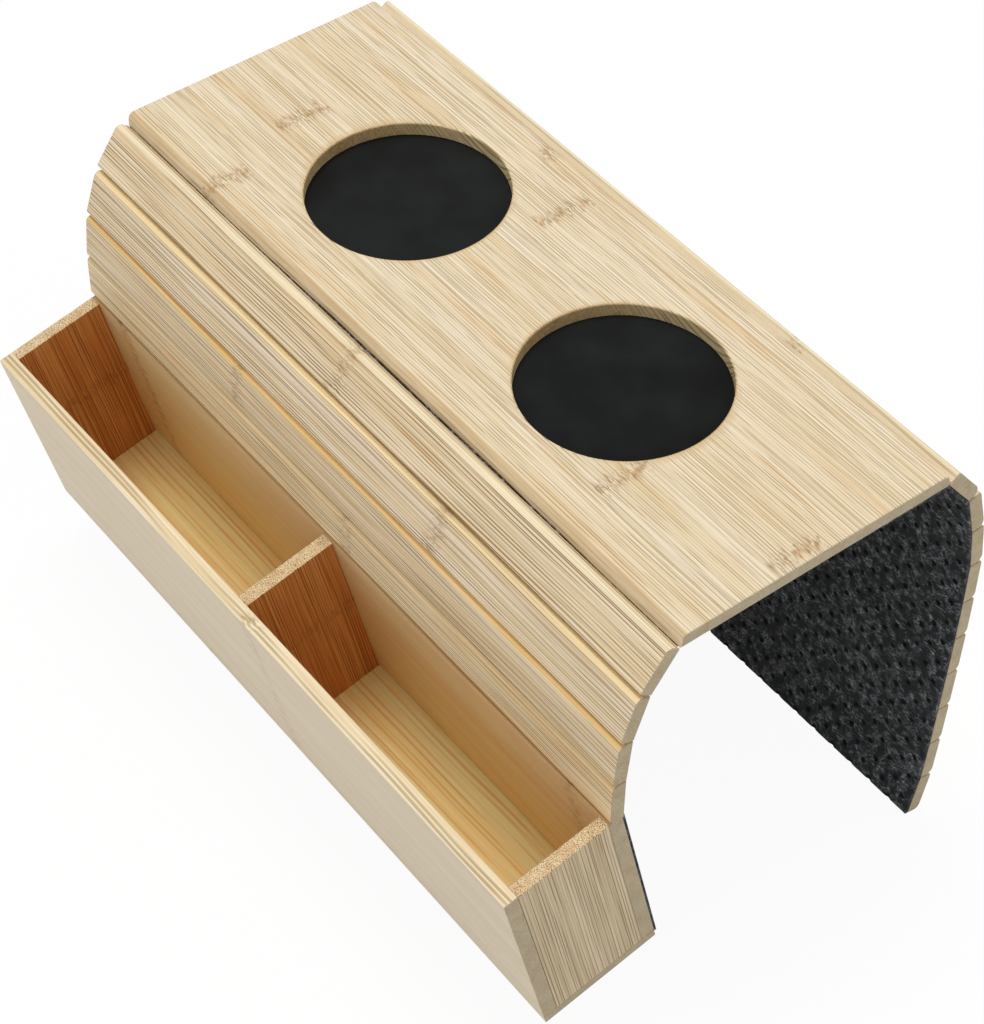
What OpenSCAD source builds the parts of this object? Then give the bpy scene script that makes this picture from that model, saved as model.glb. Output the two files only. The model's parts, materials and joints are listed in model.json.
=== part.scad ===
// Sofa arm tray: a flat bamboo top with two cup wells, slatted flaps that fold
// down on both sides on a felt backing, and a storage box hung on the left flap.
//
// Frame: millimetres, +Z up, Y along the tray. The origin is the middle of the
// felt under the top, where the tray rests on the sofa arm.
// Every seam folds about a line along Y in the glue plane between wood and felt.

/* [Top panel] */
// Length of the top panel and of the slats, along Y
tray_length = 350; // [240:1:500]
// Width of the wood of the top panel, along X
top_width = 124; // [96:1:180]
// Thickness of the top panel
top_thickness = 6; // [4:0.5:12]
// Radius of the rounding along the two long upper edges of the top panel
top_edge_radius = 3; // [0.5:0.1:3.5]

/* [Cup wells] */
// Diameter of the two round holes that hold cups
cup_diameter = 82; // [60:1:92]
// Distance between the two hole centres, along Y
cup_spacing = 134.5; // [100:0.5:200]

/* [Slats] */
// Width of the wood of one slat
slat_width = 20.1; // [14:0.1:30]
// Thickness of one slat
slat_thickness = 6; // [4:0.5:10]
// Radius of the outer long edge of a slat that faces +X where the tray lies flat
slat_right_radius = 2.8; // [0.5:0.1:3.2]
// Radius of the outer long edge of a slat that faces -X where the tray lies flat
slat_left_radius = 1.1; // [0.5:0.1:2.5]
// Gap between two neighbouring boards when they lie flat
seam_gap = 0.4; // [0.2:0.1:1]
// Fold at each seam of the left flap as it hangs, in degrees, from the top down
left_angles = [53.5, 17, 13, 5]; // [0:0.5:90]
// Fold at each seam of the right flap as it hangs, in degrees, from the top down
right_angles = [53, 23.5, 7, 8, 1, 1, 0.5, 0.5, 1, 7.5]; // [0:0.5:90]

/* [Fold limits] */
// Largest fold at the two seams beside the top panel, in degrees
edge_angle_max = 90; // [60:1:110]
// Largest fold at the second seam of each flap, in degrees
second_angle_max = 30; // [24:1:60]
// Largest fold at every other seam, in degrees
lower_angle_max = 16; // [14:1:45]

/* [Felt] */
// Thickness of the felt backing
felt_thickness = 1.5; // [0.8:0.1:3]
// Distance that the felt and the box stand back from each end of the slats
end_inset = 1; // [0.5:0.5:10]

/* [Storage box] */
// Depth of the box from its felted back to its front face, outside
box_depth = 54; // [35:0.5:90]
// Height of the box from its open rim to its underside
box_height = 93.8; // [50:0.1:110]
// Thickness of the front wall and the back wall
box_wall = 6.2; // [4:0.1:10]
// Thickness of the two end walls
box_end_wall = 5.5; // [4:0.1:12]
// Thickness of the floor board
box_floor_thickness = 4.3; // [3:0.1:12]
// Thickness of the divider
divider_thickness = 6.2; // [4:0.1:12]
// Distance of the divider from the middle of the box, along Y
divider_offset = 0; // [-100:1:100]
// Fold at the seam between the last left slat and the box, in degrees
box_angle = 13.5; // [0:0.5:16]
// Height of bare wood left under the felt on the back of the box
box_felt_short = 1; // [0.5:0.5:20]

/* [Hidden] */
right_count = len(right_angles);
left_count = len(left_angles);
$fn = 96;

// Distance from one seam to the next, and from the middle of the top to its seams
seam_pitch = slat_width + seam_gap;
top_seam_x = (top_width + seam_gap) / 2;
// Length of the felt and of the box
inner_length = tray_length - 2 * end_inset;
// Clear space between the front and back walls, and height of the walls on the floor board
box_inner_depth = box_depth - 2 * box_wall;
box_wall_height = box_height - box_floor_thickness - seam_gap / 2;
// How far a drill runs past each face of a board
drill_over = 1;

// Slope of the slat number n of a flap: the sum of the folds above it
function slope(angles, n) = n <= 0 ? 0 : angles[n - 1] + slope(angles, n - 1);
// Place of the seam under slat number n, measured from the seam beside the top
function seam_out(angles, n) = n <= 0 ? 0 : seam_out(angles, n - 1) + seam_pitch * cos(slope(angles, n));
function seam_down(angles, n) = n <= 0 ? 0 : seam_down(angles, n - 1) + seam_pitch * sin(slope(angles, n));
// Largest fold at seam number n of a flap, where seam 1 is beside the top
function angle_max(n) = n == 1 ? edge_angle_max : n == 2 ? second_angle_max : lower_angle_max;

// Puts a board, drawn flat with its upper seam on the Y axis and its wood above
// the XY plane, at the seam under slat number n, turned to the given slope.
module hang(angles, n, turn) {
    translate([top_seam_x + seam_out(angles, n), 0, felt_thickness - seam_down(angles, n)])
        rotate([0, turn, 0])
        children();
}

module hang_right(i) {
    hang(right_angles, i - 1, slope(right_angles, i)) children();
}

module hang_left(i) {
    mirror([1, 0, 0]) hang(left_angles, i - 1, slope(left_angles, i)) children();
}

module hang_box() {
    mirror([1, 0, 0]) hang(left_angles, left_count, slope(left_angles, left_count) + box_angle) children();
}

// Carries an outline in X and Z along Y, centred on the middle of the tray
module along_tray(length) {
    rotate([90, 0, 0]) linear_extrude(height = length, center = true) children();
}

// Section of a board of width w and thickness t with both outer edges rounded:
// the edge beside its upper seam and the one at its far side. It starts half a
// seam gap away from the seam.
module rounded_section(w, t, upper_radius, far_radius) {
    upper = min(upper_radius, t - 0.5);
    far = min(far_radius, t - 0.5);
    translate([seam_gap / 2, 0]) {
        polygon([[0, 0], [w, 0], [w, t - far], [w - far, t], [upper, t], [0, t - upper]]);
        translate([upper, t - upper]) circle(upper);
        translate([w - far, t - far]) circle(far);
    }
}

// Section of a felt strip on a board of width w. Its ends are cut back under
// half the largest fold at each seam, so that two strips just close up there.
module felt_section(w, angle_start, angle_end) {
    start_cut = felt_thickness * tan(angle_start / 2);
    end_cut = felt_thickness * tan(angle_end / 2);
    translate([seam_gap / 2, 0])
        polygon([[0, 0], [start_cut, -felt_thickness], [w - end_cut, -felt_thickness], [w, 0]]);
}

// Board of the box: depth runs from back to front, height from the rim down
module box_board(depth_from, depth, down_from, height, y_from, length) {
    translate([seam_gap / 2 + down_from, y_from, depth_from]) cube([height, length, depth]);
}

module top_panel() {
    color("#E4D0A8")
    difference() {
        translate([-top_seam_x, 0, felt_thickness])
            along_tray(tray_length)
                rounded_section(top_width, top_thickness, top_edge_radius, top_edge_radius);
        for (side = [-1, 1])
            translate([0, side * cup_spacing / 2, felt_thickness - drill_over])
                cylinder(d = cup_diameter, h = top_thickness + 2 * drill_over);
    }
}

module felt_top() {
    color("#222524")
    translate([-top_seam_x, 0, felt_thickness])
        along_tray(inner_length) felt_section(top_width, angle_max(1), angle_max(1));
}

module slat(upper_radius, far_radius) {
    along_tray(tray_length) rounded_section(slat_width, slat_thickness, upper_radius, far_radius);
}

module slat_right(i) {
    color("#DCC79B") hang_right(i) slat(slat_left_radius, slat_right_radius);
}

module slat_left(i) {
    color("#D9C49A") hang_left(i) slat(slat_right_radius, slat_left_radius);
}

module felt_right(i) {
    color("#1E2022")
    hang_right(i)
        along_tray(inner_length) felt_section(slat_width, angle_max(i), i < right_count ? angle_max(i + 1) : 0);
}

module felt_left(i) {
    color("#1E2022")
    hang_left(i)
        along_tray(inner_length) felt_section(slat_width, angle_max(i), angle_max(i + 1));
}

module box_front_wall() {
    color("#D3C3A6") hang_box()
        box_board(box_depth - box_wall, box_wall, 0, box_wall_height, -inner_length / 2, inner_length);
}

module box_back_wall() {
    color("#C9A871") hang_box()
        box_board(0, box_wall, 0, box_wall_height, -inner_length / 2, inner_length);
}

module box_end_near() {
    color("#B9A57E") hang_box()
        box_board(box_wall, box_inner_depth, 0, box_wall_height, -inner_length / 2, box_end_wall);
}

module box_end_far() {
    color("#B9A57E") hang_box()
        box_board(box_wall, box_inner_depth, 0, box_wall_height, inner_length / 2 - box_end_wall, box_end_wall);
}

module box_divider() {
    color("#9A6A3A") hang_box()
        box_board(box_wall, box_inner_depth, 0, box_wall_height,
            divider_offset - divider_thickness / 2, divider_thickness);
}

module box_floor() {
    color("#C99C5B") hang_box()
        box_board(0, box_depth, box_wall_height, box_floor_thickness, -inner_length / 2, inner_length);
}

module felt_box() {
    color("#1E2022") hang_box()
        along_tray(inner_length)
        felt_section(box_wall_height + box_floor_thickness - box_felt_short, angle_max(left_count + 1), 0);
}

top_panel();
felt_top();
for (i = [1:left_count]) {
    slat_left(i);
    felt_left(i);
}
box_front_wall();
box_back_wall();
box_end_near();
box_end_far();
box_floor();
box_divider();
felt_box();
for (i = [1:right_count]) {
    slat_right(i);
    felt_right(i);
}
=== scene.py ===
"""Dresses the sofa arm tray for Blender: bamboo boards, a folding felt backing, a white studio.

Shapes are worked out in millimetres and turned into the frame's metres when a mesh is made.
Every board has two directions of its own: u runs down the flap from its upper seam, and w
runs outwards from the glue plane between wood and felt. Y runs along the tray.
"""

import json

import bpy
import numpy as np
from mathutils import Matrix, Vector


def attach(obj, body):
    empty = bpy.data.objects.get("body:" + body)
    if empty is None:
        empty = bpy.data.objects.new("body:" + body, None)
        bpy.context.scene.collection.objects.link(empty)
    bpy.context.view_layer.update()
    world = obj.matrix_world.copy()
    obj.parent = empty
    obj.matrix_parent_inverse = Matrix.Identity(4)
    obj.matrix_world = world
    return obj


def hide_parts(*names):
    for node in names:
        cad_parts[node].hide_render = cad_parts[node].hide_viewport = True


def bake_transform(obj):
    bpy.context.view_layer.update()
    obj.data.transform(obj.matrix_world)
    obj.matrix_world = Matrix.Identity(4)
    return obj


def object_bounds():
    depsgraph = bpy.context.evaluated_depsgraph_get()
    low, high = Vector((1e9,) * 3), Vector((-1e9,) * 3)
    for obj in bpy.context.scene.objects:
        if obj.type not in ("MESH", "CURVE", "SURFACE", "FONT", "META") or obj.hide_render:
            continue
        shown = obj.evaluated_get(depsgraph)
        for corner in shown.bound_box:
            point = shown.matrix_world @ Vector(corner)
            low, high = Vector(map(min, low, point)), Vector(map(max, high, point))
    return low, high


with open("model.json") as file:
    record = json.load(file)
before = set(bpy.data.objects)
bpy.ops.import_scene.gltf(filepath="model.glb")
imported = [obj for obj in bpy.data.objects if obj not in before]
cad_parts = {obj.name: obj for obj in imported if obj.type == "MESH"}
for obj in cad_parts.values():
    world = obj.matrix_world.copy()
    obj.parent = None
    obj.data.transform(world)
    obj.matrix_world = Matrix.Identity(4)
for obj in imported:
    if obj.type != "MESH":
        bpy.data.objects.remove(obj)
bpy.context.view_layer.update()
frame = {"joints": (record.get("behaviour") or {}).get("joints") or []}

MM = 0.001

# Boards, as in the part's source
TOP_WIDTH = 124.0
TOP_THICKNESS = 6.0
TOP_EDGE_RADIUS = 3.0
TRAY_LENGTH = 350.0
CUP_RADIUS = 41.0
CUP_SPACING = 134.5
SLAT_WIDTH = 20.1
SLAT_THICKNESS = 6.0
SLAT_RIGHT_RADIUS = 2.8
SLAT_LEFT_RADIUS = 1.1
SEAM_GAP = 0.4
SEAM_PITCH = SLAT_WIDTH + SEAM_GAP
INNER_LENGTH = 348.0

# Storage box
BOX_DEPTH = 54.0
BOX_WALL = 6.2
BOX_END_WALL = 5.5
BOX_FLOOR = 4.3
BOX_HEIGHT = 93.8
DIVIDER = 6.2
WALL_HEIGHT = BOX_HEIGHT - BOX_FLOOR - SEAM_GAP / 2
FELT_BOX_LENGTH = WALL_HEIGHT + BOX_FLOOR - 1.0

# Felt: one sheet, 1.5 mm thick, needled in a staggered grid of small pits
FELT_THICKNESS = 1.5
PIT_PITCH_ALONG = 11.3
PIT_PITCH_ACROSS = 11.4
PIT_START = -1.65
PIT_RADIUS = 1.85
PIT_DEPTH = 1.0
FOLD_REACH = 3.0

# Sanded arrises, drawn a little wide so that they catch light at this distance
ARRIS = 0.45
LOWER_ARRIS = 0.3
WALL_ARRIS = 0.3


# ---- Places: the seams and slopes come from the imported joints

joints = {joint["name"]: joint for joint in frame["joints"]}
right_seams = [f"fold_right_{i}" for i in range(1, 11)]
left_seams = [f"fold_left_{i}" for i in range(1, 5)] + ["fold_box"]


def rest_fold(seam):
    """Fold of a seam as the tray hangs, in radians: how far the joint is from lying flat."""
    low, high = joints[seam]["range_deg"]
    return np.radians(-low if "right" in seam else high)


def boards_of(seams, side):
    """Each board of a flap as (side, x, z, slope): its upper seam and the folds above it, added up."""
    slopes = np.cumsum([rest_fold(seam) for seam in seams])
    places = [np.array(joints[seam]["pos_m"]) / MM for seam in seams]
    return [(side, place[0], place[2], slope) for place, slope in zip(places, slopes)]


right_boards = boards_of(right_seams, 1)
left_boards = boards_of(left_seams, -1)
top_board = (1, 0.0, FELT_THICKNESS, 0.0)
box_board = left_boards[-1]


def lay(board, u, y, w):
    """Points of the frame for a board's own u, y and w: u and w turned by the board's slope."""
    side, x, z, slope = board
    u, y, w = np.broadcast_arrays(u, y, w)
    out = x + side * (u * np.cos(slope) + w * np.sin(slope))
    up = z - u * np.sin(slope) + w * np.cos(slope)
    return np.stack([out, y, up], axis=-1)


# ---- Meshes

def grid_faces(numbers, closed=False):
    """Quads of a grid of point numbers; closed joins its last column to its first."""
    if closed:
        numbers = np.concatenate([numbers, numbers[:, :1]], axis=1)
    a, b = numbers[:-1, :-1], numbers[1:, :-1]
    c, d = numbers[1:, 1:], numbers[:-1, 1:]
    return np.stack([a, b, c, d], axis=-1).reshape(-1, 4)


def weld(points, groups, spacing=1e-4):
    """Points closer than the spacing become one, and faces that lose a corner are dropped."""
    keys = np.round(points / spacing).astype(np.int64)
    _, first, number = np.unique(keys, axis=0, return_index=True, return_inverse=True)
    number = number.reshape(-1)
    kept = []
    for faces, finish in groups:
        faces = number[faces]
        ordered = np.sort(faces, axis=1)
        whole = (np.diff(ordered, axis=1) > 0).all(axis=1)
        kept.append((faces[whole], finish))
    return points[first], kept, first


def volume(points, groups):
    """Six times the volume that the faces close in; it is negative where they point inwards."""
    total = 0.0
    for faces, _ in groups:
        for k in range(1, faces.shape[1] - 1):
            a, b, c = points[faces[:, 0]], points[faces[:, k]], points[faces[:, k + 1]]
            total += np.einsum("ij,ij->", a, np.cross(b, c))
    return total


def make_piece(name, points, groups, finishes, **marks):
    """A mesh object from points in millimetres and groups of faces, each with its finish number.

    marks are what the finishes read at each point: wood is its place in its own board (across,
    along, through), edge the share of a rounded edge's own colour, partly a painted highlight on the
    slats, and pit the depth of a pit in the felt, which its finish paints as shade.
    """
    if volume(points, groups) < 0:
        groups = [(faces[:, ::-1], finish) for faces, finish in groups]
    corners = np.concatenate([faces.ravel() for faces, _ in groups])
    sizes = np.concatenate([np.full(len(faces), faces.shape[1]) for faces, _ in groups])
    numbers = np.concatenate([np.full(len(faces), finish) for faces, finish in groups])
    mesh = bpy.data.meshes.new(name)
    mesh.vertices.add(len(points))
    mesh.vertices.foreach_set("co", (points * MM).astype(np.float32).ravel())
    mesh.loops.add(len(corners))
    mesh.loops.foreach_set("vertex_index", corners.astype(np.int32))
    mesh.polygons.add(len(sizes))
    starts = np.concatenate([[0], np.cumsum(sizes)[:-1]])
    mesh.polygons.foreach_set("loop_start", starts.astype(np.int32))
    mesh.polygons.foreach_set("material_index", numbers.astype(np.int32))
    mesh.update(calc_edges=True)
    mesh.validate()
    mesh.polygons.foreach_set("use_smooth", np.ones(len(mesh.polygons), bool))
    for mark, values in marks.items():
        kind, field = ("FLOAT_VECTOR", "vector") if values.ndim == 2 else ("FLOAT", "value")
        mesh.attributes.new(mark, kind, "POINT").data.foreach_set(field, values.astype(np.float32).ravel())
    for finish in finishes:
        mesh.materials.append(finish)
    piece = bpy.data.objects.new(name, mesh)
    bpy.context.scene.collection.objects.link(piece)
    return piece


def even_shading(piece):
    """Normals weighted by face area, so that flat faces stay flat beside their arrises."""
    modifier = piece.modifiers.new("even_shading", "WEIGHTED_NORMAL")
    modifier.keep_sharp = True


# ---- Boards

def eased_outline(width, height, radii, steps=5, flat=1):
    """Outline of a board's section, corner by corner, each a quarter circle of its radius.

    flat is the number of spans along the lower and the upper side.
    """
    quarter = np.linspace(0, np.pi / 2, steps + 1)
    middles = [(0, 0, np.pi), (width, 0, 1.5 * np.pi), (width, height, 0), (0, height, np.pi / 2)]
    corners = []
    for (x, y, turn), radius in zip(middles, radii):
        centre_x = x + (radius if x == 0 else -radius)
        centre_y = y + (radius if y == 0 else -radius)
        angle = turn + quarter
        arc = np.stack([centre_x + radius * np.cos(angle), centre_y + radius * np.sin(angle)], axis=1)
        corners.append(arc)
    share = np.linspace(0, 1, flat + 1)[1:-1, None]
    lower = corners[0][-1] * (1 - share) + corners[1][0] * share
    upper = corners[2][-1] * (1 - share) + corners[3][0] * share
    return np.concatenate([corners[0], lower, corners[1], corners[2], upper, corners[3]])


def carried_along(outline, stations, ease):
    """The outline carried along its length. Near both ends it draws in along a quarter circle
    of the ease, so the end faces have a sanded edge. Gives points (a, b, t) by ring."""
    quarter = np.linspace(0, np.pi / 2, 4)
    draw = ease * (1 - np.sin(quarter))
    step = ease * (1 - np.cos(quarter))
    along = np.concatenate([stations[0] + step, stations[1:-1], stations[-1] - step[::-1]])
    inset = np.concatenate([draw, np.zeros(len(stations) - 2), draw[::-1]])
    centre = (outline.min(0) + outline.max(0)) / 2
    half = (outline.max(0) - outline.min(0)) / 2
    rings = centre + (outline - centre) * (1 - inset[:, None] / half)[:, None, :]
    t = np.broadcast_to(along[:, None, None], rings.shape[:2] + (1,))
    return np.concatenate([rings, t], axis=2)


def closed_board(rings):
    """Points and faces of carried rings, with both ends closed. The ends and their sanded edges
    have finish 1, the sides between them finish 0."""
    count = rings.shape[1]
    numbers = np.arange(rings.shape[0] * count).reshape(rings.shape[:2])
    sides = grid_faces(numbers[3:-3], closed=True)
    eased = [grid_faces(part, closed=True) for part in (numbers[:4], numbers[-4:])]
    ends = np.stack([numbers[0], numbers[-1][::-1]])
    return rings.reshape(-1, 3), [(sides, 0), (np.concatenate(eased), 1), (ends, 1)]


def wood_place(across, along, through, seed, knuckle=0.0):
    """Each point's place in the culm that its board was cut from, with the knuckle at zero."""
    rng = np.random.default_rng(seed)
    shift = rng.uniform(0, 400, 2)
    return np.stack([across + shift[0], along - knuckle, through + shift[1]], axis=1)


def add_slat(name, board, seed, knuckle, body, tone):
    """A slat: its section carried along the tray. Of its two outer edges, the one that faces +X
    where the tray lies flat is rounded more: the upper edge on the left, the far one on the right."""
    outer = (SLAT_LEFT_RADIUS, SLAT_RIGHT_RADIUS) if board[0] < 0 else (SLAT_RIGHT_RADIUS, SLAT_LEFT_RADIUS)
    radii = (LOWER_ARRIS, LOWER_ARRIS, *outer)
    outline = eased_outline(SLAT_WIDTH, SLAT_THICKNESS, radii, steps=7)
    half = TRAY_LENGTH / 2
    rings = carried_along(outline, np.linspace(-half, half, 9), ARRIS)
    local, groups = closed_board(rings)
    u, w, y = local.T
    points = lay(board, u + SEAM_GAP / 2, y, w)
    wood = wood_place(u, y, w, seed, knuckle)
    # the upper rounded edge takes its tone's edge colour: partly the wood's own tint, partly a painted highlight
    # against the shade in the groove
    edge = np.clip((2.4 - u) / 1.2, 0, 1) * np.clip((w - 1.5) / 2, 0, 1)
    piece = make_piece(name, points, groups, [tone, bamboo_end], wood=wood, edge=edge)
    even_shading(piece)
    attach(piece, body)
    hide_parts(name.replace("board_", "slat_"))
    return piece


def ring_patch(corners, centre, radius, spans_x, spans_y, height, rings=10):
    """Flat patch from a circle to the rectangle round it. Each border point is joined to the
    circle along the line to the circle's centre; widths grow outwards by a power of 1.3."""
    (x0, y0), (x1, y1) = corners
    xs, ys = np.linspace(x0, x1, spans_x + 1), np.linspace(y0, y1, spans_y + 1)
    border = np.concatenate([
        np.stack([xs[:-1], np.full(spans_x, y0)], axis=1),
        np.stack([np.full(spans_y, x1), ys[:-1]], axis=1),
        np.stack([xs[:0:-1], np.full(spans_x, y1)], axis=1),
        np.stack([np.full(spans_y, x0), ys[:0:-1]], axis=1),
    ])
    angle = np.unwrap(np.arctan2(border[:, 1] - centre[1], border[:, 0] - centre[0]))
    circle = np.array(centre) + radius * np.stack([np.cos(angle), np.sin(angle)], axis=1)
    share = np.linspace(0, 1, rings + 1)[:, None, None] ** 1.3
    flat = circle + (border - circle) * share
    z = np.full(flat.shape[:2] + (1,), height)
    return np.concatenate([flat, z], axis=2), angle


def top_panel_mesh():
    """The top: its section carried along Y without its two flats, which are ring patches round
    the cup holes; the hole walls carry a profile with a sanded rim round each circle."""
    spans_x, spans_y = 36, 50
    radii = (LOWER_ARRIS, LOWER_ARRIS, TOP_EDGE_RADIUS, TOP_EDGE_RADIUS)
    steps = 8
    outline = eased_outline(TOP_WIDTH, TOP_THICKNESS, radii, steps=steps, flat=spans_x)
    outline[:, 0] -= TOP_WIDTH / 2
    half = TRAY_LENGTH / 2
    flat_half = half - ARRIS
    stations = np.concatenate([[-half], np.linspace(-flat_half, flat_half, 2 * spans_y + 1)[1:-1], [half]])
    rings = carried_along(outline, stations, ARRIS)
    count = rings.shape[1]
    numbers = np.arange(rings.shape[0] * count).reshape(rings.shape[:2])
    quads = grid_faces(numbers, closed=True).reshape(rings.shape[0] - 1, count, 4)
    keep = np.ones(quads.shape[:2], bool)
    lower_from = steps
    upper_from = 3 * (steps + 1) + spans_x - 2
    inner = slice(3, rings.shape[0] - 4)
    keep[inner, lower_from:lower_from + spans_x] = False
    keep[inner, upper_from:upper_from + spans_x] = False
    ends = np.stack([numbers[0], numbers[-1][::-1]])
    points = [rings[..., [0, 2, 1]].reshape(-1, 3)]
    groups = [(quads[keep], 0), (ends, 1)]
    total = points[0].shape[0]

    def append(grid, closed, finish):
        nonlocal total
        order = np.arange(grid.shape[0] * grid.shape[1]).reshape(grid.shape[:2]) + total
        points.append(grid.reshape(-1, 3))
        groups.append((grid_faces(order, closed=closed), finish))
        total += order.size

    rim = 0.6
    quarter = np.linspace(0, np.pi / 2, 5)
    for side in (-1, 1):
        centre = (0.0, side * CUP_SPACING / 2)
        y_from, y_to = (-flat_half, 0.0) if side < 0 else (0.0, flat_half)
        upper_x = TOP_WIDTH / 2 - TOP_EDGE_RADIUS
        lower_x = TOP_WIDTH / 2 - LOWER_ARRIS
        upper, upper_angle = ring_patch(
            ((-upper_x, y_from), (upper_x, y_to)), centre, CUP_RADIUS + rim, spans_x, spans_y, TOP_THICKNESS)
        lower, lower_angle = ring_patch(
            ((-lower_x, y_from), (lower_x, y_to)), centre, CUP_RADIUS + LOWER_ARRIS, spans_x, spans_y, 0.0)
        append(upper, True, 0)
        append(lower[::-1], True, 0)
        radius = np.concatenate([
            CUP_RADIUS + rim * (1 - np.sin(quarter)),
            CUP_RADIUS + LOWER_ARRIS * (1 - np.sin(quarter[::-1])),
        ])
        height = np.concatenate([
            TOP_THICKNESS - rim * (1 - np.cos(quarter)),
            LOWER_ARRIS * (1 - np.cos(quarter[::-1])),
        ])
        share = ((TOP_THICKNESS - height) / TOP_THICKNESS)[:, None]
        angle = upper_angle * (1 - share) + lower_angle * share
        wall = np.stack([
            centre[0] + radius[:, None] * np.cos(angle),
            centre[1] + radius[:, None] * np.sin(angle),
            np.broadcast_to(height[:, None], angle.shape),
        ], axis=2)
        append(wall[::-1], True, 2)
    points = np.concatenate(points)
    points, groups, _ = weld(points, groups)
    return points, groups


# ---- Felt

def felt_lines(start, stop, pitch, first=0.0, extra=()):
    """Grid lines from start to stop: close together where a row of pits passes, wide between,
    with rows every half pitch counted from the first, and the extra lines added."""
    offsets = np.array([-1.6, -1.1, -0.55, 0.0, 0.55, 1.1, 1.6, pitch / 4])
    half = pitch / 2
    rows = first + np.arange(np.floor((start - first) / half) - 1, np.ceil((stop - first) / half) + 2) * half
    lines = (rows[:, None] + offsets).ravel()
    lines = np.concatenate([lines[(lines > start + 0.3) & (lines < stop - 0.3)], extra, [start, stop]])
    lines = np.unique(np.round(lines, 4))
    near = np.diff(lines) < 0.12
    return np.delete(lines, np.where(near)[0][np.where(near)[0] > 0])


def pit_depth(s, y):
    """Depth of the needled face at s across and y along: a smooth dent round the nearest pit of
    the staggered grid, of a depth that varies from pit to pit, over a faint slow wave."""
    rng = np.random.default_rng(7)
    vary = rng.uniform(0.6, 1.0, (2, 97, 97))
    depth = np.zeros(np.broadcast(s, y).shape)
    for k, half in enumerate((0.0, 0.5)):
        i = np.round((s - PIT_START) / PIT_PITCH_ACROSS - half)
        j = np.round(y / PIT_PITCH_ALONG - half)
        ds = s - PIT_START - (i + half) * PIT_PITCH_ACROSS
        dy = y - (j + half) * PIT_PITCH_ALONG
        t = np.clip(1 - np.hypot(ds, dy) / PIT_RADIUS, 0, 1)
        depth = np.maximum(depth, PIT_DEPTH * t * t * (3 - 2 * t) * vary[k, i.astype(int) % 97, j.astype(int) % 97])
    wave = np.sin(s * 0.9 + 1.7 * np.sin(y * 0.31)) * np.sin(y * 0.83 + 1.3 * np.sin(s * 0.47))
    return depth + 0.06 * wave


def fold_share(u):
    """How much of a fold has been turned at u from the seam: a smooth step over the reach."""
    t = np.clip((u + FOLD_REACH) / (2 * FOLD_REACH), 0, 1)
    return t * t * (3 - 2 * t)


def felt_place(board_before, board_after, fold, u, y, w):
    """Felt points round a seam: the flat sheet, turned about the seam by the share of the fold."""
    side, x, z, _ = board_after
    slope = board_before[3] + fold * fold_share(u)
    out = x + side * (u * np.cos(slope) + w * np.sin(slope))
    up = z - u * np.sin(slope) + w * np.cos(slope)
    return np.stack([out, np.broadcast_to(y, out.shape), up], axis=-1)


def near_shift(s):
    """How far the near end of the sheet stands in at s: it was glued on a little askew."""
    return 0.2 - np.clip(s / 62, -1, 1)


def felt_mesh(start, stop, sheet_at, side, place, extra=()):
    """A closed strip of felt: a smooth glued face and a needled face, joined round the border.

    start and stop are u from the seam, sheet_at is how far u = 0 lies from the middle of the
    sheet, on its left or right side, and place turns (u, y, w) into points. The glued face has
    long quads; each long edge is closed by one face with all of its corners in one plane.
    """
    half = INNER_LENGTH / 2
    ys = felt_lines(-half, half, PIT_PITCH_ALONG)
    ends = sorted((side * (sheet_at + start), side * (sheet_at + stop)))
    sheet = felt_lines(*ends, PIT_PITCH_ACROSS, PIT_START, side * (sheet_at + np.asarray(extra, float)))
    lines = np.sort(side * sheet) - sheet_at
    u, y = np.meshgrid(lines, ys, indexing="ij")
    depth = pit_depth(side * (sheet_at + u), y)
    border = np.minimum.reduce([u - lines[0] + 9, lines[-1] - u + 9, y + half, half - y])
    depth = depth * np.clip(border / 0.6, 0, 1)
    shift = near_shift(side * (sheet_at + lines))[:, None]
    needled = place(u, y + shift * np.clip((-y - 150) / 24, 0, 1), -FELT_THICKNESS + depth)
    ends = np.array([[-half, half]]) + shift * np.array([[1, 0]])
    glued = place(lines[:, None], ends, np.zeros((len(lines), 2)))
    points = np.concatenate([needled.reshape(-1, 3), glued.reshape(-1, 3)])
    pit = np.concatenate([depth.ravel() / PIT_DEPTH, np.zeros(2 * len(lines))])
    low = np.arange(u.size).reshape(u.shape)
    high = np.arange(glued.shape[0] * 2).reshape(-1, 2) + u.size
    side_near = np.stack([low[:-1, 0], low[1:, 0], high[1:, 0], high[:-1, 0]], axis=1)
    side_far = np.stack([low[1:, -1], low[:-1, -1], high[:-1, 1], high[1:, 1]], axis=1)
    edge_first = np.concatenate([low[0], high[0, ::-1]])[None, ::-1]
    edge_last = np.concatenate([low[-1], high[-1, ::-1]])[None, :]
    groups = [
        (grid_faces(low)[:, ::-1], 0),
        (grid_faces(high), 1),
        (side_near, 0),
        (side_far, 0),
        (edge_first, 0),
        (edge_last, 0),
    ]
    return points, groups, pit


# ---- Materials

def linear(code):
    """An sRGB hex colour as linear numbers with alpha 1."""
    value = np.array([int(code[i:i + 2], 16) for i in (1, 3, 5)]) / 255
    light = np.where(value <= 0.04045, value / 12.92, ((value + 0.055) / 1.055) ** 2.4)
    return (*light.tolist(), 1.0)


def add(tree, kind, feeds=None, stops=None, **settings):
    """Adds a node, sets its settings, and feeds its inputs with links or with values.

    stops are the places and colours of a colour ramp.
    """
    node = tree.nodes.new("ShaderNode" + kind)
    for key, value in settings.items():
        setattr(node, key, value)
    for key, value in (feeds or {}).items():
        if isinstance(value, bpy.types.NodeSocket):
            tree.links.new(value, node.inputs[key])
        else:
            node.inputs[key].default_value = value
    for i, (place, colour) in enumerate(stops or []):
        marks = node.color_ramp.elements
        mark = marks[i] if i < 2 else marks.new(place)
        mark.position, mark.color = place, colour
    return node


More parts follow.
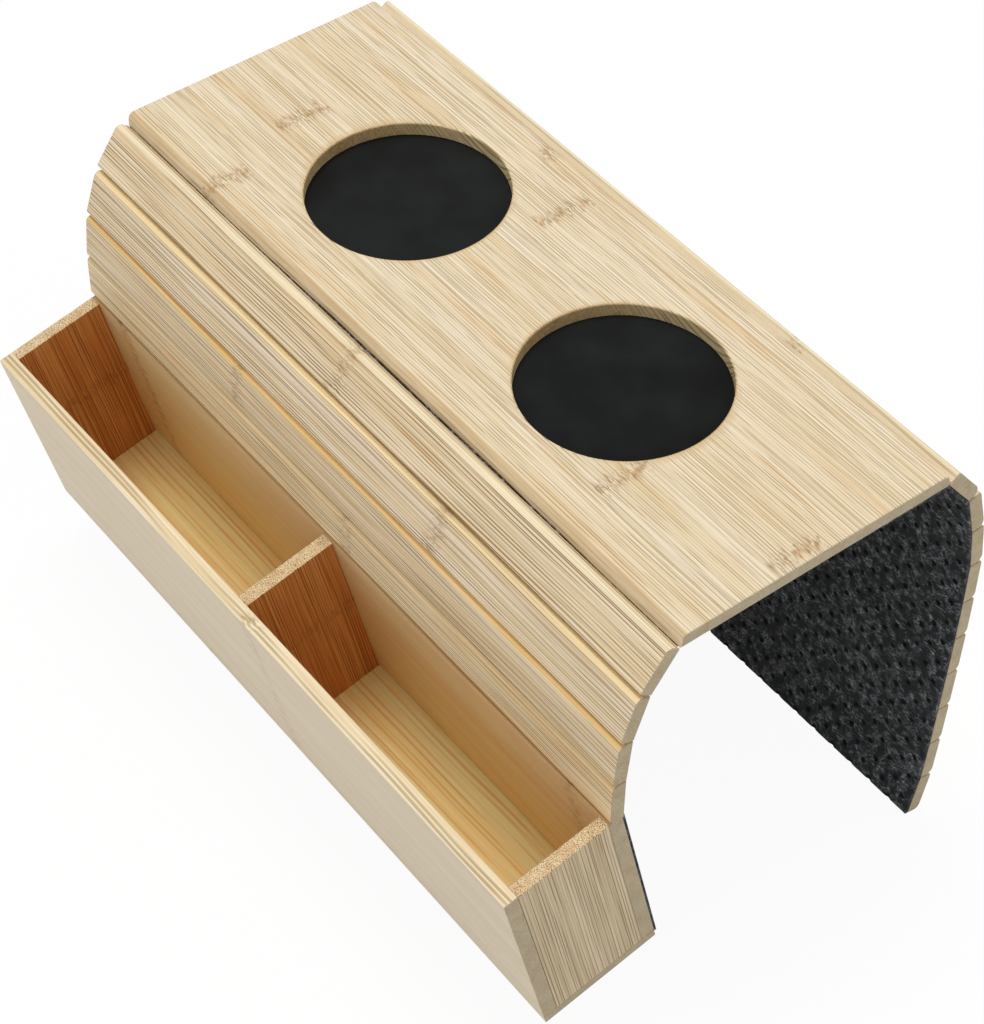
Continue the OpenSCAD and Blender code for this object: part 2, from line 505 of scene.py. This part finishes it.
def new_material(name):
    """An empty material with a Principled shader on its output."""
    material = bpy.data.materials.new(name)
    material.use_nodes = True
    tree = material.node_tree
    tree.nodes.clear()
    shader = add(tree, "BsdfPrincipled")
    add(tree, "OutputMaterial", {"Surface": shader.outputs[0]})
    return material, tree, shader


def bamboo(name, colours, strips=None, fibre=1.0, scar=1.0, run=70.0, edge=None, roughness=0.5, sawn=False):
    """Bamboo, sanded and wiped with clear oil: pale culm wood crossed by thin straight vascular
    fibres along the grain, soft warm streaks, and a knuckle across each strip.

    The pattern is solid: it reads the place in the board in millimetres, so a face cut across
    the grain shows the fibres as dots. strips lists (edge across, knuckle along) of laminated
    strips; without it the board is one strip with its knuckle at zero. colours are the pale,
    usual and warm wood, the fibre, and the brown of a knuckle. fibre and scar are how strongly
    the fibres and the knuckles show, and run how many millimetres a line of fibres goes on. edge is the colour of a rounded edge and how strongly it
    shows. sawn is for end grain, which shows dots and no long lines.
    """
    pale, base, warm, dark, brown = [linear(colour) for colour in colours]
    material, tree, shader = new_material(name)
    wood = add(tree, "Attribute", attribute_name="wood").outputs["Vector"]
    place = add(tree, "SeparateXYZ", {0: wood})
    across, along, through = place.outputs

    def maths(operation, *values, **settings):
        return add(tree, "Math", dict(enumerate(values)), operation=operation, **settings).outputs[0]

    def rise(value, start, stop, low=0.0, high=1.0, smooth=True):
        kind = "SMOOTHSTEP" if smooth else "LINEAR"
        feeds = {"Value": value, 1: start, 2: stop, 3: low, 4: high}
        return add(tree, "MapRange", feeds, interpolation_type=kind).outputs[0]

    def noise(vector, scales, detail):
        stretched = add(tree, "VectorMath", {0: vector, 1: scales}, operation="MULTIPLY").outputs[0]
        return add(tree, "TexNoise", {"Vector": stretched, "Scale": 1.0, "Detail": detail})

    def offset(vector, scales, reach, detail):
        centred = add(tree, "VectorMath", {0: noise(vector, scales, detail).outputs["Color"], 1: (0.5,) * 3},
                      operation="SUBTRACT").outputs[0]
        return add(tree, "VectorMath", {0: centred, 1: reach}, operation="MULTIPLY").outputs[0]

    def blended(amount, first, second):
        return add(tree, "Mix", {0: amount, 6: first, 7: second}, data_type="RGBA").outputs[2]

    if strips:
        # each strip is a different length of culm: its knuckle and its pattern lie elsewhere
        first, last = strips[0][0], strips[-1][0]
        share = rise(across, first, last, smooth=False)
        stops = [((edge - first) / (last - first), ((knuckle + 200) / 400,) * 3 + (1,)) for edge, knuckle in strips[:-1]]
        ramp = add(tree, "ValToRGB", {0: share}, stops)
        ramp.color_ramp.interpolation = "CONSTANT"
        shift = rise(ramp.outputs[0], 0.0, 1.0, -200.0, 200.0, smooth=False)
        along = maths("SUBTRACT", along, shift)
        through = maths("ADD", through, shift)
    culm = add(tree, "CombineXYZ", {0: across, 1: along, 2: through}).outputs[0]

    # knuckles come every 300 mm along a culm and disturb about 5 mm of it on each side
    away = maths("ABSOLUTE", maths("WRAP", along, 150.0, -150.0))
    ragged = maths("ADD", away, maths("MULTIPLY", noise(culm, (0.9, 0.07, 0.9), 2.0).outputs[0], 14.0))
    knuckle = rise(ragged, 13.0, 7.0)

    # fibres run straight, within half a millimetre over 100 mm, and in short waves in a knuckle
    wander = offset(culm, (0.03, 0.009, 0.03), (1.8, 0.0, 0.9), 1.0)
    twist = offset(culm, (0.3, 0.2, 0.3), (1.6, 0.0, 1.2), 1.0)
    twist = add(tree, "VectorMath", {0: twist, "Scale": knuckle}, operation="SCALE").outputs[0]
    moved = add(tree, "VectorMath", {0: culm, 1: wander}, operation="ADD").outputs[0]
    moved = add(tree, "VectorMath", {0: moved, 1: twist}, operation="ADD").outputs[0]
    moved_at = add(tree, "SeparateXYZ", {0: moved})

    def threads(cells, start, stop, length):
        """Lines at the middles of the cells, each broken here and there at its own places."""
        own = add(tree, "CombineXYZ", {1: maths("MULTIPLY", along, 1 / length)}).outputs[0]
        own = add(tree, "VectorMath", {0: cells.outputs["Color"], 1: (61.0, 0.0, 83.0), 2: own}, operation="MULTIPLY_ADD").outputs[0]
        broken = rise(add(tree, "TexNoise", {"Vector": own, "Scale": 1.0, "Detail": 1.0}).outputs[0], 0.4, 0.56, 0.35, 1.0)
        return maths("MULTIPLY", rise(cells.outputs["Distance"], start, stop), broken)

    def bundles(wide, deep):
        section = add(tree, "CombineXYZ", {
            0: maths("MULTIPLY", moved_at.outputs[0], 1 / wide),
            1: maths("MULTIPLY", moved_at.outputs[2], 1 / deep),
        }).outputs[0]
        return add(tree, "TexVoronoi", {"Vector": section, "Scale": 1.0}, voronoi_dimensions="2D")

    # bundles of fibres are 0.3 mm thick and about 1 mm apart: dots where the wood is sawn across;
    # a planed face cuts them lengthwise in straight lines, 0.45 mm wide and 1.2 mm apart
    thick = threads(bundles(0.95, 0.5), 0.33, 0.14, 60.0)
    if sawn:
        fibres = maths("MAXIMUM", thick, maths("MULTIPLY", threads(bundles(0.55, 0.32), 0.33, 0.14, 30.0), 0.8))
    else:
        row = maths("MULTIPLY_ADD", moved_at.outputs[2], 0.4, moved_at.outputs[0])
        comb = add(tree, "TexVoronoi", {"W": row, "Scale": 1 / 1.2, "Randomness": 0.6}, voronoi_dimensions="1D")
        fibres = maths("MAXIMUM", maths("MULTIPLY", thick, 0.45), threads(comb, 0.25, 0.12, run))
    bands = add(tree, "SeparateColor", {0: noise(moved, (0.16, 0.007, 0.16), 2.0).outputs["Color"]})
    streaks = add(tree, "SeparateColor", {0: noise(moved, (1.5, 0.03, 1.5), 2.5).outputs["Color"]})
    dense = rise(bands.outputs[0], 0.36, 0.6, 0.7, 1.0)
    fibres = maths("MULTIPLY", fibres, dense)
    fibres = maths("MULTIPLY_ADD", rise(streaks.outputs[0], 0.46, 0.7), 0.08, fibres, use_clamp=True)

    # tone: narrow streaks of paler and yellower wood, and here and there a warm band
    tone = maths("MULTIPLY_ADD", streaks.outputs[1], 0.5, maths("MULTIPLY", bands.outputs[1], 0.5))
    colour = blended(rise(tone, 0.42, 0.58), pale, base)
    band = maths("MULTIPLY", rise(bands.outputs[2], 0.54, 0.72), rise(streaks.outputs[2], 0.38, 0.6, 0.15, 0.8))
    colour = blended(band, colour, warm)
    # a rounded edge takes its own colour, with its fibres faded: on the slats partly the wood's tint, partly a painted
    # highlight against the shade in the grooves
    if edge:
        at_edge = add(tree, "Attribute", attribute_name="edge").outputs["Fac"]
        patchy = rise(streaks.outputs[2], 0.36, 0.62, 0.6 * edge[1], edge[1])
        colour = blended(maths("MULTIPLY", at_edge, patchy, use_clamp=True), colour, linear(edge[0]))
        fibres = maths("MULTIPLY", fibres, rise(at_edge, 0.0, 1.0, 1.0, 0.4))

    # the knuckle: short dark dashes where the fibres cross over, pale and tinted patches between
    marks = add(tree, "SeparateColor", {0: noise(moved, (0.3, 0.22, 0.3), 2.0).outputs["Color"]})
    dashes = rise(noise(moved, (1.7, 0.36, 1.7), 1.5).outputs[0], 0.49, 0.6)
    pores = add(tree, "TexVoronoi", {"Vector": wood, "Scale": 0.36})
    colour = blended(maths("MULTIPLY", knuckle, rise(marks.outputs[0], 0.48, 0.36, 0.0, 0.5 * scar)), colour, pale)
    colour = blended(maths("MULTIPLY", knuckle, rise(marks.outputs[1], 0.44, 0.62, 0.0, 0.6 * scar)), colour, brown)
    colour = blended(maths("MULTIPLY", fibres, 0.66 * fibre, use_clamp=True), colour, dark)
    colour = blended(maths("MULTIPLY", maths("MULTIPLY", knuckle, dashes), 0.62 * scar), colour, dark)
    colour = blended(maths("MULTIPLY", knuckle, rise(pores.outputs["Distance"], 0.13, 0.06, 0.0, 0.8 * scar)), colour, dark)
    tree.links.new(colour, shader.inputs["Base Color"])

    # the fibres lie 0.03 mm below the sanded pith between them
    bump = add(tree, "Bump", {"Height": maths("MULTIPLY", fibres, -1.0), "Distance": 0.03 * MM, "Strength": 0.5})
    tree.links.new(bump.outputs[0], shader.inputs["Normal"])
    tree.links.new(rise(fibres, 0.0, 1.0, roughness - 0.04, roughness + 0.1), shader.inputs["Roughness"])
    shader.inputs["IOR"].default_value = 1.45
    shader.inputs["Specular IOR Level"].default_value = 0.35
    return material


def felt_needled(name):
    """Needle-punched polyester felt, black: short fibres lie in every direction as grey fuzz,
    thick in some places and thin in others, and the pits are painted darker than the face, as shade in their hollows."""
    material, tree, shader = new_material(name)
    place = add(tree, "TexCoord").outputs["Object"]
    # fibres are 0.02 mm thick; tufts of them are drawn 0.3 mm wide and 1.4 mm long so that they show
    fuzz = 0.0
    for turn, start in ((0.2, 0.0), (1.1, 5.0), (1.9, 9.0), (2.7, 13.0)):
        mapping = add(tree, "Mapping", {"Vector": place, "Location": (start, start, 0), "Rotation": (turn, 0.9 * turn, 1.7 * turn),
                                        "Scale": (2200.0, 640.0, 2200.0)})
        noise = add(tree, "TexNoise", {"Vector": mapping.outputs[0], "Scale": 1.0, "Detail": 1.5, "Distortion": 0.8})
        tuft = add(tree, "MapRange", {"Value": noise.outputs[0], 1: 0.54, 2: 0.68}, interpolation_type="SMOOTHSTEP").outputs[0]
        fuzz = add(tree, "Math", {0: fuzz, 1: tuft}, operation="MAXIMUM").outputs[0]
    patch = add(tree, "TexNoise", {"Vector": place, "Scale": 240.0, "Detail": 2.0})
    shade = add(tree, "MapRange", {"Value": patch.outputs[0], 1: 0.34, 2: 0.66, 3: 0.15, 4: 1.0}).outputs[0]
    amount = add(tree, "Math", {0: fuzz, 1: shade}, operation="MULTIPLY").outputs[0]
    stops = [(0.0, linear("#282A2C")), (0.3, linear("#3D4043")), (1.0, linear("#B6B8BC"))]
    colour = add(tree, "ValToRGB", {0: amount}, stops).outputs[0]
    # painted shade: each pit is darkened by its depth
    pit = add(tree, "Attribute", attribute_name="pit").outputs["Fac"]
    pit_painted_shade = add(tree, "MapRange", {"Value": pit, 1: 0.04, 2: 0.32}, interpolation_type="SMOOTHSTEP").outputs[0]
    colour = add(tree, "Mix", {0: pit_painted_shade, 6: colour, 7: linear("#070708")}, data_type="RGBA").outputs[2]
    tree.links.new(colour, shader.inputs["Base Color"])
    bump = add(tree, "Bump", {"Height": fuzz, "Distance": 0.3 * MM, "Strength": 0.9})
    tree.links.new(bump.outputs[0], shader.inputs["Normal"])
    shader.inputs["Roughness"].default_value = 0.95
    shader.inputs["Specular IOR Level"].default_value = 0.15
    shader.inputs["Sheen Weight"].default_value = 0.08
    shader.inputs["Sheen Roughness"].default_value = 0.5
    return material


def felt_pressed(name):
    """The same felt on its pressed face, which the cups stand on: smooth, black, faintly cloudy."""
    material, tree, shader = new_material(name)
    place = add(tree, "TexCoord").outputs["Object"]
    cloud = add(tree, "TexNoise", {"Vector": place, "Scale": 45.0, "Detail": 3.0})
    colour = add(tree, "ValToRGB", {0: cloud.outputs[0]}, [(0.35, linear("#151716")), (0.7, linear("#1F2221"))]).outputs[0]
    tree.links.new(colour, shader.inputs["Base Color"])
    nap = add(tree, "TexNoise", {"Vector": place, "Scale": 1800.0, "Detail": 2.0})
    bump = add(tree, "Bump", {"Height": nap.outputs[0], "Distance": 0.05 * MM, "Strength": 0.5})
    tree.links.new(bump.outputs[0], shader.inputs["Normal"])
    shader.inputs["Roughness"].default_value = 0.85
    shader.inputs["Specular IOR Level"].default_value = 0.15
    return material


# Each set: pale, usual and warm wood, its fibres, and the brown of its knuckles
NATURAL = ("#EEDEC1", "#E5D1AC", "#E0BC88", "#8D7249", "#C08C57")
# and the colour of its upper rounded edge: the wood's own tint there, made paler as a painted highlight against the
# shade in the groove
SLAT_TONES = {
    "light": (("#F1DDBB", "#E9D1A8", "#E3B97D", "#694B20", "#B98445"), ("#F3E4C0", 1.0)),
    "grey": (("#F1DDBF", "#E5CEA7", "#E0C190", "#664A1F", "#B08149"), ("#FADFA8", 1.0)),
    "sand": (("#F4E1C1", "#EBD1A6", "#E6C48F", "#6C4F25", "#AC7B46"), ("#F8CB78", 1.0)),
    # the lowest left slat, beside the box, is given a palette paler than its wood: painted light against the shade it
    # stands in
    "tan": (("#FCEBC5", "#F9DDAF", "#DFB46F", "#76592B", "#B58244"), ("#D4AD6B", 0.6)),
    "plain": (("#E9D9B8", "#E0CCA5", "#D8BB8C", "#7A5F36", "#B58650"), ("#E9D8B4", 0.6)),
}
# (edge across the top, knuckle along it) for each laminated strip, and the last edge
TOP_STRIPS = [(-62, 116), (-43, -105), (-19, 130), (4.5, -40), (28, 20), (53, 51), (62, 0)]

bamboo_top = bamboo("bamboo_top_laminated_oiled", NATURAL, TOP_STRIPS, fibre=1.0, run=26, edge=("#CFB082", 1.0))
bamboo_end = bamboo("bamboo_end_grain_sawn", ("#C2B396", "#B9A88B", "#B39B77", "#82704F", "#99683B"), roughness=0.65, sawn=True)
bamboo_bore = bamboo("bamboo_routed", ("#EBD7A9", "#E2CC9C", "#A37F4E", "#927547", "#AB7E49"),
                     fibre=1.3, edge=("#A47E4C", 0.85), roughness=0.6)
slat_tones = {tone: bamboo(f"bamboo_slat_{tone}", colours, fibre=1.25, scar=0.5, edge=edge)
              for tone, (colours, edge) in SLAT_TONES.items()}
bamboo_wall = bamboo("bamboo_box_wall_sanded", ("#E4D4BC", "#DECEB3", "#D8C6A4", "#C3B08E", "#B29670"),
                     fibre=0.3, scar=0.45, roughness=0.6)
bamboo_panel = bamboo("bamboo_box_end_sawn", ("#DDC9A8", "#CFBA97", "#C4A87D", "#7C6A4A", "#9E764A"),
                      fibre=1.2, roughness=0.6)
# the box floor's inner face: warmer and more saturated than the rest of the board, as painted warm bounce light inside
# the box
bamboo_floor_painted_bounce = bamboo("bamboo_box_floor_painted_bounce", ("#FCF3B3", "#FCE39A", "#FCD176", "#E09C56", "#D18B4A"), fibre=0.8, roughness=0.55)
# the inner faces of the front and back walls: warmer than their outer faces, as painted warm bounce light inside the
# box
bamboo_inside_painted_bounce = bamboo("bamboo_box_inside_painted_bounce", ("#F0DDAD", "#F0D1A0", "#EBC288", "#D1A971", "#BF945C"),
                       fibre=0.3, roughness=0.55)
# the inner faces of the end walls and both faces of the divider: a dark saturated orange brown, as painted warm shade
# inside the box
bamboo_ends_painted_shade = bamboo("bamboo_inner_faces_painted_shade", ("#DD9755", "#CC813E", "#BD7130", "#7F4B20", "#7F4B20"), fibre=1.25, scar=0.4)
bamboo_rim = bamboo("bamboo_rim_planed", ("#F4E3C0", "#EAD4AA", "#E3C492", "#90784C", "#B27E4C"), fibre=0.95, scar=0.7, roughness=0.6)
bamboo_rim_back = bamboo("bamboo_rim_shaded", ("#E9B76E", "#DFAB61", "#D4994F", "#A07132", "#A0682E"), roughness=0.6)
bamboo_rim_end = bamboo("bamboo_rim_end_grain", ("#EDD8AA", "#E2C596", "#CDA46D", "#763D1C", "#8F542F"),
                        fibre=2.3, roughness=0.6, sawn=True)
felt_inner = felt_needled("felt_needle_punched_black")
felt_outer = felt_pressed("felt_pressed_black")


# ---- The top panel and the slats

points, groups = top_panel_mesh()
wood = np.stack([points[:, 0], points[:, 1], points[:, 2] + 40], axis=1)
# the lower left edge is sanded back by up to 0.3 mm over its middle, where the felt shows as a wider line
sanded = 0.55 * np.clip((112 - np.abs(points[:, 1] + 20)) / 60, 0, 1) - 0.25
points[:, 0] += sanded * np.clip((2.5 - points[:, 2]) / 1.5, 0, 1) * (points[:, 0] < 1.0 - TOP_WIDTH / 2)
# the hole walls are darker where they cut across the grain
from_cup = np.stack([points[:, 0], np.abs(points[:, 1]) - CUP_SPACING / 2])
edge = (from_cup[1] / CUP_RADIUS) ** 2 * (np.hypot(*from_cup) < CUP_RADIUS + 1)
# and the rounded left edge is browner than the top towards its upper part; lower down it keeps the top's colour, paler
# there as painted light against the shade of the rounding
edge += np.clip((2.9 - points[:, 0] - TOP_WIDTH / 2) / 0.6, 0, 1) * np.clip((points[:, 2] - 2.6) / 2.4, 0, 1)
board_top = make_piece("board_top", points + [0, 0, FELT_THICKNESS], groups, [bamboo_top, bamboo_end, bamboo_bore],
                       wood=wood, edge=edge)
even_shading(board_top)
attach(board_top, "top")
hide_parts("top_panel")

# Knuckle along Y and tone of each slat, from the top down
LEFT_SLATS = [(9, "light"), (-63, "grey"), (63, "sand"), (-12, "tan")]
RIGHT_SLATS = [(-88, "light"), (40, "plain"), (-30, "light"), (112, "plain"), (-120, "light"),
               (66, "light"), (-8, "plain"), (-140, "light"), (90, "plain"), (22, "light")]
for i, (knuckle, tone) in enumerate(LEFT_SLATS, 1):
    add_slat(f"board_left_{i}", left_boards[i - 1], 10 + i, knuckle, f"left_{i}", slat_tones[tone])
for i, (knuckle, tone) in enumerate(RIGHT_SLATS, 1):
    add_slat(f"board_right_{i}", right_boards[i - 1], 30 + i, knuckle, f"right_{i}", slat_tones[tone])


# ---- The storage box

def add_wall(name, node, depth, down, y_from, y_to, seed, knuckle, finishes, upright=False):
    """A board of the box, with sanded arrises all round.

    depth and down are (from, to) across the box and down from its rim. The grain runs along
    the tray, or up and down where upright is set. finishes names the finish of each broad
    side: all, ends (across the grain), near, far, back, front, top or under.
    """
    size = np.array([down[1] - down[0], y_to - y_from, depth[1] - depth[0]])
    if upright:
        outline = eased_outline(size[1], size[2], (WALL_ARRIS,) * 4, steps=3)
        rings = carried_along(outline, np.linspace(0, size[0], 5), WALL_ARRIS)
        local, groups = closed_board(rings)
        y, d, h = local.T
        wood = wood_place(d, h, y, seed, knuckle)
    else:
        outline = eased_outline(size[0], size[2], (WALL_ARRIS,) * 4, steps=3)
        rings = carried_along(outline, np.linspace(0, size[1], 9), WALL_ARRIS)
        local, groups = closed_board(rings)
        h, d, y = local.T
        wood = wood_place(h, y + y_from, d, seed, knuckle)
    own = np.stack([h, y, d], axis=1)
    sides = {"near": (1, 0), "far": (1, size[1]), "back": (2, 0), "front": (2, size[2]),
             "top": (0, 0), "under": (0, size[0])}
    used = [finishes["all"], finishes["ends"]]
    for side, (axis, at) in sides.items():
        if side in finishes:
            faces, _ = groups[0]
            picked = (np.abs(own[:, axis] - at) < 1e-6)[faces].all(axis=1)
            groups[0] = (faces[~picked], 0)
            groups.append((faces[picked], len(used)))
            used.append(finishes[side])
    points = lay(box_board, h + down[0] + SEAM_GAP / 2, y + y_from, d + depth[0])
    piece = make_piece(name, points, groups, used, wood=wood)
    even_shading(piece)
    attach(piece, "box")
    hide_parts(node)
    return piece


half_inner = INNER_LENGTH / 2
between = (BOX_WALL, BOX_DEPTH - BOX_WALL)
walls = (0.0, WALL_HEIGHT)
under = (WALL_HEIGHT, WALL_HEIGHT + BOX_FLOOR)
# the inner faces take painted finishes: warm bounce light on the long walls and the floor, warm shade on the end walls
# and the divider
add_wall("box_front", "box_front_wall", (BOX_DEPTH - BOX_WALL, BOX_DEPTH), walls, -half_inner, half_inner, 61, -10,
         {"all": bamboo_wall, "ends": bamboo_end, "back": bamboo_inside_painted_bounce, "top": bamboo_rim})
add_wall("box_back", "box_back_wall", (0.0, BOX_WALL), walls, -half_inner, half_inner, 62, -150,
         {"all": bamboo_end, "ends": bamboo_end, "front": bamboo_inside_painted_bounce, "top": bamboo_rim_back})
add_wall("box_near", "box_end_near", between, walls, -half_inner, -half_inner + BOX_END_WALL, 63, 190,
         {"all": bamboo_panel, "ends": bamboo_rim_end, "far": bamboo_ends_painted_shade}, upright=True)
add_wall("box_far", "box_end_far", between, walls, half_inner - BOX_END_WALL, half_inner, 64, 42,
         {"all": bamboo_panel, "ends": bamboo_rim_end, "near": bamboo_ends_painted_shade}, upright=True)
add_wall("box_middle", "box_divider", between, walls, -DIVIDER / 2, DIVIDER / 2, 65, 40,
         {"all": bamboo_panel, "ends": bamboo_rim_end, "near": bamboo_ends_painted_shade, "far": bamboo_ends_painted_shade}, upright=True)
add_wall("box_bottom", "box_floor", (0.0, BOX_DEPTH), under, -half_inner, half_inner, 66, 55,
         {"all": bamboo_wall, "ends": bamboo_end, "top": bamboo_floor_painted_bounce})


# ---- The felt, one piece for each seam, from the middle of one board to the middle of the next

SLAT_MIDDLE = SEAM_PITCH / 2
TOP_EDGE = TOP_WIDTH / 2 + SEAM_GAP / 2
FELT_MIDDLE = 52.0
fold_lines = np.linspace(-FOLD_REACH, FOLD_REACH, 13)


def add_felt_seam(name, node, seam, boards, before, i, start, stop, sheet_at):
    """The felt round one seam, bent by its fold at rest."""
    side = boards[i][0]
    fold = rest_fold(seam)

    def place(u, y, w):
        return felt_place(before, boards[i], fold, u, y, w)

    points, groups, pit = felt_mesh(start, stop, sheet_at, side, place, fold_lines)
    # beside the top its glued face shows in the gap; there it takes the lighter needled finish, as painted light in the
    # gap
    finishes = [felt_inner, felt_inner if seam == "fold_left_1" else felt_outer]
    piece = make_piece(name, points, groups, finishes, pit=pit)
    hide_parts(node)
    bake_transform(piece)
    return piece


felt_pieces = []
for seams, boards, side_name, side in ((right_seams, right_boards, "right", 1), (left_seams, left_boards, "left", -1)):
    for i, seam in enumerate(seams):
        body = seam.replace("fold_", "")
        before = (side, 0, 0, 0.0) if i == 0 else boards[i - 1]
        start = FELT_MIDDLE - TOP_EDGE if i == 0 else -SLAT_MIDDLE
        last = i == len(seams) - 1
        stop = SLAT_MIDDLE
        if last:
            stop = SEAM_PITCH - SEAM_GAP / 2 if side == 1 else FELT_BOX_LENGTH + SEAM_GAP / 2
        sheet_at = TOP_EDGE + i * SEAM_PITCH
        add_felt_seam(f"felt_seam_{body}", f"felt_{body}", seam, boards, before, i, start, stop, sheet_at)


def place_top(u, y, w):
    return lay(top_board, u, y, w)


points, groups, pit = felt_mesh(-FELT_MIDDLE, FELT_MIDDLE, 0.0, 1, place_top)
felt_middle = make_piece("felt_middle", points, groups, [felt_inner, felt_outer], pit=pit)
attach(felt_middle, "top")
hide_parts("felt_top")


# ---- Studio: white floor and backdrop, a wide soft key from above and behind, even white round it

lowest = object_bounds()[0].z
studio, tree, shader = new_material("studio_paper_white")
tree.nodes.remove(shader)
rays = add(tree, "LightPath")
seen = add(tree, "Math", {0: rays.outputs["Is Camera Ray"], 1: rays.outputs["Is Glossy Ray"]}, operation="MAXIMUM").outputs[0]
seen = add(tree, "Math", {0: seen, 1: 0.94}, operation="MULTIPLY").outputs[0]
paper = add(tree, "BsdfDiffuse", {"Color": linear("#F4F4F2")})
glow = add(tree, "Emission", {"Color": (1, 1, 1, 1), "Strength": 1.0})
both = add(tree, "MixShader", {0: seen, 1: paper.outputs[0], 2: glow.outputs[0]})
tree.links.new(both.outputs[0], [n for n in tree.nodes if n.type == "OUTPUT_MATERIAL"][0].inputs["Surface"])
corner = np.array([[-3000.0, -3000.0], [3000.0, -3000.0], [3000.0, 3000.0], [-3000.0, 3000.0]])
floor_points = np.column_stack([corner, np.full(4, lowest / MM - 2)])
mesh = bpy.data.meshes.new("studio_floor")
mesh.from_pydata((floor_points * MM).tolist(), [], [[0, 1, 2, 3]])
mesh.materials.append(studio)
floor = bpy.data.objects.new("studio_floor", mesh)
bpy.context.scene.collection.objects.link(floor)

world = bpy.data.worlds.new("studio_world")
world.use_nodes = True
bpy.context.scene.world = world
sky = world.node_tree
sky.nodes.clear()
rays = add(sky, "LightPath")
seen = add(sky, "Math", {0: rays.outputs["Is Camera Ray"], 1: rays.outputs["Is Transmission Ray"]}, operation="MAXIMUM").outputs[0]
level = add(sky, "MapRange", {"Value": seen, 3: 0.6, 4: 1.0}).outputs[0]
light = add(sky, "Background", {"Color": (1, 1, 1, 1), "Strength": level})
add(sky, "OutputWorld", {"Surface": light.outputs[0]})

key = bpy.data.lights.new("key", "SUN")
key.energy = 1.5
key.angle = np.radians(30)
key_lamp = bpy.data.objects.new("key", key)
bpy.context.scene.collection.objects.link(key_lamp)
towards_lamp = np.array([0.0, 0.15, 0.95])
towards_lamp /= np.linalg.norm(towards_lamp)
sideways = np.cross([0, 1, 0], towards_lamp)
sideways /= np.linalg.norm(sideways)
upwards = np.cross(towards_lamp, sideways)
key_lamp.matrix_world = Matrix([[*row, 0] for row in np.stack([sideways, upwards, towards_lamp], axis=1).tolist()] + [[0, 0, 0, 1]])


# ---- Camera, solved on the photograph: place, axes and focal length of a pinhole view

CAMERA_PLACE = (-476.79, -625.45, 724.97)
CAMERA_RIGHT = (0.79717, -0.60372, -0.00716)
CAMERA_UP = (0.44600, 0.58084, 0.68096)
FOCAL_PIXELS = 2796.8
IMAGE_HEIGHT = 1024

camera = bpy.data.cameras.new("camera")
camera.sensor_width = 36.0
camera.lens = FOCAL_PIXELS / IMAGE_HEIGHT * camera.sensor_width
camera.clip_start, camera.clip_end = 0.05, 20.0
camera_object = bpy.data.objects.new("camera", camera)
bpy.context.scene.collection.objects.link(camera_object)
axes = np.stack([CAMERA_RIGHT, CAMERA_UP, np.cross(CAMERA_RIGHT, CAMERA_UP)], axis=1)
rows = [[*axes[i], CAMERA_PLACE[i] * MM] for i in range(3)] + [[0, 0, 0, 1]]
camera_object.matrix_world = Matrix(rows)
bpy.context.scene.camera = camera_object

bpy.context.scene.view_settings.view_transform = "Standard"
